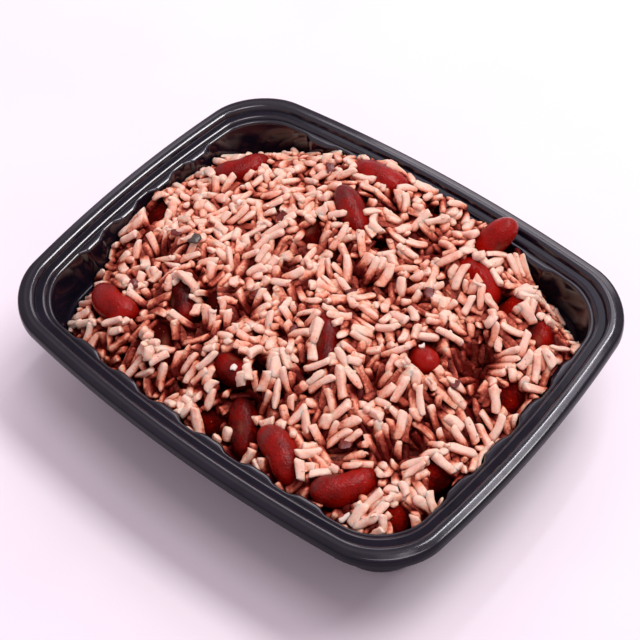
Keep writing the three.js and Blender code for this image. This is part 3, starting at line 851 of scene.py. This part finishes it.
skin = bean_material()
beans = {name: bean_mesh(name) for name in BEANS}
level_x, level_y = np.meshgrid(GRID_X, GRID_Y, indexing="ij")
heap = heap_level(level_x, level_y)
pits = dips(level_x, level_y, PITS)
relief = smooth_field(*RELIEF[0]) + smooth_field(*RELIEF[1])
target = heap - BED_DEPTH + np.minimum(relief, RELIEF_MOST) - pits  # where the grains end
mound = heap + MOUND_LOFT  # the general form of the heap, without its small relief
wall = fall_on(*tray_parts, lowest=math.inf)
bean_tops = np.full_like(target, -math.inf)
closed = np.zeros(target.shape, bool)  # where no grain may lie
cover = closed.copy()  # where grains hide a bean
for name, made in beans.items():
    top = fall_on(made["points"], made["quads"], made["triangles"])
    bean_tops = np.maximum(bean_tops, top)
    # the rice rises to the beans, which lie half sunk in it
    sunk, rise = (SUNK_WELL, RISE_WELL) if name in GLIMPSES else (SUNK, RISE_MOST)
    if name in IN_HOLLOW:
        sunk, rise = SUNK_DEEP, RISE_DEEP
    crown = np.minimum(top.max() - sunk, heap + rise) + 0.5 * relief - 0.5 * pits
    off = off_bean(name, level_x, level_y)
    rising = np.where(off < RISE_REACH, crown - RISE_SLOPE * np.maximum(off, 0), -math.inf)
    target = np.maximum(target, rising)
    if name not in IN_HOLLOW:
        mound = np.maximum(mound, rising + MOUND_LOFT_AT_BEAN)
    if name in GLIMPSES:
        # grains hide the bean but for a gap, which reaches a little towards the viewer
        at_x, at_y, radius = GLIMPSES[name]
        shift = np.clip(((level_x - at_x) - (level_y - at_y)) / 2, 0, GLIMPSE_REACH)
        gap = np.hypot(level_x - at_x - shift, level_y - at_y + shift) < radius
        wanted = GLIMPSE_COVER
    else:
        gap = spread(top, int(LAPS[name] / CELL), np.minimum) > heap - BURIED
        wanted = LAP_COVER
    hidden = (spread(top, 2) > heap - BURIED) & ~gap
    closed |= gap
    if name in GLIMPSES or LAPS[name] > LAP_WIDE:
        target = np.where(hidden, np.maximum(target, spread(top, 3) + wanted), target)
        cover |= hidden
cover &= ~closed
core_level = np.maximum(SHEET, heap - CORE_DEPTH - pits)
ground = np.maximum(np.maximum(core_level, wall), bean_tops)
out_of_reach = 30  # closed places are raised by this while the others are filled
laid, surface = lay_grains(
    np.where(closed, ground + out_of_reach, ground), target, cover,
    FILLED + SPARSE * pits, MOST_GRAINS)
surface = np.where(closed, ground, surface)
kinds = np.array([row[0] for row in laid])
place = np.array([row[1:4] for row in laid])
yaw, pitch = (np.array([row[k] for row in laid]) for k in (4, 5))
lengths = np.array([KINDS[k][0] for k in kinds]) * random.uniform(0.92, 1.06, len(kinds))
grain_tones = random.uniform(0, 1, len(kinds))

# How high the food around each place stands, which tells how deep a point lies in a crevice; that
# depth darkens the rice and the beans, partly as a stain and partly as painted shade
AROUND_REACH, BLUR_REACH = 8, 3  # cells
around_level = spread(np.where(wall > surface - 0.1, heap - 1, surface), AROUND_REACH)
for _ in range(3):
    for axis in (0, 1):
        before, after = (np.roll(around_level, step, axis) for step in (BLUR_REACH, -BLUR_REACH))
        around_level = (before + around_level + after) / 3
around_level = np.minimum(around_level, mound)


def depth_at(points):
    """How deep each point lies below the food around it, from 0 to 1."""
    # the pits count as deeper still, so they are painted darker: painted shade
    below = at_cells(around_level + 0.3 * pits, points[..., 0], points[..., 1]) - points[..., 2]
    return np.clip((below - DEEP_FROM) / (DEEP_TO - DEEP_FROM), 0, 1)


for name, made in beans.items():
    points, at = made["points"], made["local"] * MM
    deep = depth_at(points)  # painted shade: makes it darker the deeper it lies among the food, most where it only glimpses out
    bean_tone = BEAN_TONES.get(name, random.uniform(0.1, 0.6))
    # painted sheen, a reflection, towards the bean's end at -X, over the 5 mm from its middle on
    towards_end = np.clip((points.mean(0) - points)[:, 0] / 5, 0, 1)
    fields = {
        "tone": bean_tone + (0.5 if name in GLIMPSES else 0.2) * deep,
        "deep": deep,
        "scar": made["scar"],
        "milky": SHEEN_AT_END.get(name, 0.1) * towards_end,
        # each bean has its own place in the textures
        "at_x": at[:, 0] + 0.04 * int(name[-2:]),
        "at_y": at[:, 1],
        "at_z": at[:, 2],
    }
    piece_name = name.replace("bean", "kidney")
    piece = make_mesh(piece_name, points, made["quads"], made["triangles"], fields)
    piece.data.materials.append(skin)
    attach(piece, "root")
    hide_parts(name)


def place_grains(name, shapes, tones, material):
    """One piece from grain-like shapes that are already in place."""
    piece = join_tubes(name, shapes, GRAIN_RINGS, GRAIN_AROUND, {
        "tone": np.repeat(tones, shapes.shape[1]),
        "deep": depth_at(shapes),
    })
    piece.data.materials.append(material)
    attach(piece, "root")
    return piece


CLEAR_X, CLEAR_Y = 52, 36  # no wall is this near the middle
PRESS_STEPS, PRESS_IN, PRESS_UP = 40, 0.15, 0.05


def inside_tray(points):
    """Presses points that would lie in the tray's wall back in and a little up."""
    points = points.copy()
    near = spread(wall, 1)
    for _ in range(PRESS_STEPS):
        x, y, z = np.moveaxis(points, -1, 0)
        caught = at_cells(near, x, y) > z
        out = np.stack([x - np.clip(x, -CLEAR_X, CLEAR_X), y - np.clip(y, -CLEAR_Y, CLEAR_Y)], -1)
        out /= np.maximum(np.linalg.norm(out, axis=-1, keepdims=True), 1e-6)
        points[..., :2] -= PRESS_IN * out * caught[..., None]
        points[..., 2] += PRESS_UP * caught
    return points


cooked = rice_material()
across_tray = np.argsort(place[:, 0])
for part, some in enumerate(np.array_split(across_tray, math.ceil(len(laid) / MOST_IN_A_PIECE))):
    shapes = grain_shapes(lengths[some])
    shapes = turned(shapes, random.uniform(-0.6, 0.6, len(some)), pitch[some], yaw[some])
    shapes = inside_tray(shapes + place[some][:, None])
    piece = place_grains(f"rice_grains_{part + 1}", shapes, grain_tones[some], cooked)
    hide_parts("rice")


def scatter(count, low_x, high_x, low_y, high_y):
    """Random places on the rice, off the beans and the walls, as x and y."""
    x, y = random.uniform(low_x, high_x, count * 3), random.uniform(low_y, high_y, count * 3)
    free = (spread(bean_tops, 3) <= surface - 1.2) & (spread(wall, 6) < surface - 1)
    fits = at_cells(free & (surface > target - 3), x, y)
    return x[fits][:count], y[fits][:count]


def scraps(x, y, lengths, width, thickness, lift=0.0, lean=0.5):
    """Small flat shapes that lie on the food at these places."""
    lengths = np.asarray(lengths, float)
    shapes = grain_shapes(lengths, width, thickness)
    pitches, yaws = random.uniform(-lean, lean, len(x)), random.uniform(0, 6.3, len(x))
    shapes = turned(shapes, np.zeros(len(x)), pitches, yaws)
    return shapes + np.column_stack([x, y, at_cells(surface, x, y) + lift])[:, None]


x, y = scatter(CRUMBS, -58, 62, -44, 44)
place_grains("rice_crumbs", scraps(x, y, random.uniform(0.8, 1.9, len(x)), 0.9, 0.7, -0.1),
             random.uniform(0.5, 1, len(x)), cooked)
x, y = scatter(SKIN_SCRAPS, -50, 55, -40, 40)
skin_scraps = scraps(x, y, random.uniform(2.5, 4.5, len(x)), 2.6, 0.3, 0.3)
place_grains("bean_skin_scraps", skin_scraps, np.zeros(len(x)), scrap_material(
    "loose bean skin", (0.20, 0.012, 0.005), (0.07, 0.006, 0.004), 0.2))
x, y, size = np.array(PALE_BITS).T
pale_bits = scraps(x, y, size, 1.5, 1.2, 0.5)
place_grains("rice_pale_bits", pale_bits, np.zeros(len(x)), scrap_material(
    "pale bit", (0.92, 0.80, 0.72), (0.88, 0.68, 0.58), 0.3))
herb = scraps(*np.array([HERB_BIT]).T, [HERB_LENGTH], 2.2, 0.9, 0.3, 0.2)
place_grains("herb_bit", herb, np.zeros(1), scrap_material(
    "dark herb", (0.035, 0.025, 0.018), (0.075, 0.055, 0.040), 0.15))


def core_mesh():
    """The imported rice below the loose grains: a bumpy top on sides that follow the tray."""
    stations = tray_stations(8, (-0.375, -0.125, 0.125, 0.375))
    gap, steps, bump = 0.35, 44, 0.5
    bottom = SHEET + gap
    rings = []
    for inset in (FOOT_INSET + FOOT_RADIUS + 6, FOOT_INSET + FOOT_RADIUS + 0.5):
        xy = plan(stations, inset, 0)
        rings.append(np.column_stack([xy, np.full(len(xy), bottom)]))
    edge = plan(stations, SHOULDER_OUTER + SHOULDER_STEP + FLUTE_DEPTH + gap, 0)
    z = np.minimum(heap_level(*edge.T) - CORE_DEPTH, HEIGHT - SHOULDER_DROP)
    rings.append(np.column_stack([edge, z]))
    for step in range(1, steps):
        xy = edge * (1 - step / steps)
        z = heap_level(*xy.T) - CORE_DEPTH + random.uniform(-bump, bump, len(xy))
        rings.append(np.column_stack([xy, z]))
    points = np.vstack([*rings, [0, 0, bottom], [0, 0, heap_level(0.0, 0.0) - CORE_DEPTH]])
    return points, *ring_faces(len(rings), len(stations))


core = make_mesh("rice_core", *core_mesh())
core.data.materials.append(shaded_core_material())
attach(core, "root")
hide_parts("rice")

# ---------------- floor, light and camera

FLOOR_RADII, FLOOR_AROUND = (2500, 1200, 500, 150), 48
floor_angle = np.linspace(0, 2 * math.pi, FLOOR_AROUND, endpoint=False)
floor_points = [
    np.column_stack([r * np.cos(floor_angle), r * np.sin(floor_angle), np.zeros(FLOOR_AROUND)])
    for r in FLOOR_RADII
]
# the ring faces without the fan that would close the outermost ring
quads, triangles = ring_faces(len(FLOOR_RADII), FLOOR_AROUND)
floor = make_mesh("floor", np.vstack([*floor_points, [0, 0, -1], [0, 0, 0]]), quads,
                  triangles[FLOOR_AROUND:])
floor.data.materials.append(floor_material())


def area_light(name, azimuth, elevation, distance, size, power, colour):
    """A soft light aimed at the food from a direction in degrees, its first size along X."""
    data = bpy.data.lights.new(name, "AREA")
    data.shape = "RECTANGLE"
    data.size, data.size_y = size
    data.energy = power
    data.color = colour
    light = bpy.data.objects.new(name, data)
    bpy.context.scene.collection.objects.link(light)
    a, e = math.radians(azimuth), math.radians(elevation)
    aim = Vector((0, 0, 0.02))  # about the middle of the food
    away = Vector((math.cos(a) * math.cos(e), math.sin(a) * math.cos(e), math.sin(e)))
    light.location = aim + away * distance
    side = Vector((1, 0, 0))
    side = (side - away * side.dot(away)).normalized()
    light.rotation_euler = Matrix((side, away.cross(side), away)).transposed().to_euler()
    return light


area_light("key", 55, 61, 1.6, (0.72, 0.32), 12.2, (1.0, 0.985, 0.97))
area_light("above", 20, 84, 1.6, (0.55, 0.55), 5.6, (1.0, 0.90, 0.98))
area_light("band", 90, 62, 1.4, (0.20, 0.35), 0.8, (0.93, 0.86, 1.0))
area_light("strip", 104, 61, 1.4, (0.07, 0.50), 2.2, (0.97, 0.95, 1.0))
area_light("side", 121, 48, 1.3, (0.50, 0.22), 0.9, (0.95, 0.89, 1.0))
area_light("back", 111, 35, 1.3, (0.50, 0.24), 1.2, (1.0, 0.93, 0.97))
area_light("rim", 152, 30, 1.2, (0.40, 0.20), 0.25, (0.93, 0.88, 1.0))
world = bpy.data.worlds.new("studio")
world.use_nodes = True
background = world.node_tree.nodes["Background"]
background.inputs["Color"].default_value = (1.0, 0.85, 0.95, 1)
background.inputs["Strength"].default_value = 0.50
bpy.context.scene.world = world
bpy.context.scene.view_settings.view_transform = "Standard"

CAMERA_AZIMUTH, CAMERA_ELEVATION, CAMERA_ROLL = (math.radians(v) for v in (44.7, 52.0, -5.6))
CAMERA_DISTANCE = 381.2
CAMERA_SHIFT = (1.05, -6.02)  # from the middle of the rim, to the right and up
CAMERA_LENS, SENSOR = 78.3, 36.0

back = Vector((
    math.sin(CAMERA_AZIMUTH) * math.cos(CAMERA_ELEVATION),
    -math.cos(CAMERA_AZIMUTH) * math.cos(CAMERA_ELEVATION),
    math.sin(CAMERA_ELEVATION),
))
level_right = Vector((math.cos(CAMERA_AZIMUTH), math.sin(CAMERA_AZIMUTH), 0))
level_up = back.cross(level_right)
right = level_right * math.cos(CAMERA_ROLL) + level_up * math.sin(CAMERA_ROLL)
up = level_up * math.cos(CAMERA_ROLL) - level_right * math.sin(CAMERA_ROLL)
eye = level_right * CAMERA_SHIFT[0] + level_up * CAMERA_SHIFT[1] + Vector((0, 0, HEIGHT))
eye = (eye + back * CAMERA_DISTANCE) * MM
camera_data = bpy.data.cameras.new("camera")
camera_data.lens, camera_data.sensor_width = CAMERA_LENS, SENSOR
camera_data.clip_start, camera_data.clip_end = 0.01, 10
camera = bpy.data.objects.new("camera", camera_data)
bpy.context.scene.collection.objects.link(camera)
camera.matrix_world = Matrix.Translation(eye) @ Matrix((right, up, back)).transposed().to_4x4()
bpy.context.scene.camera = camera
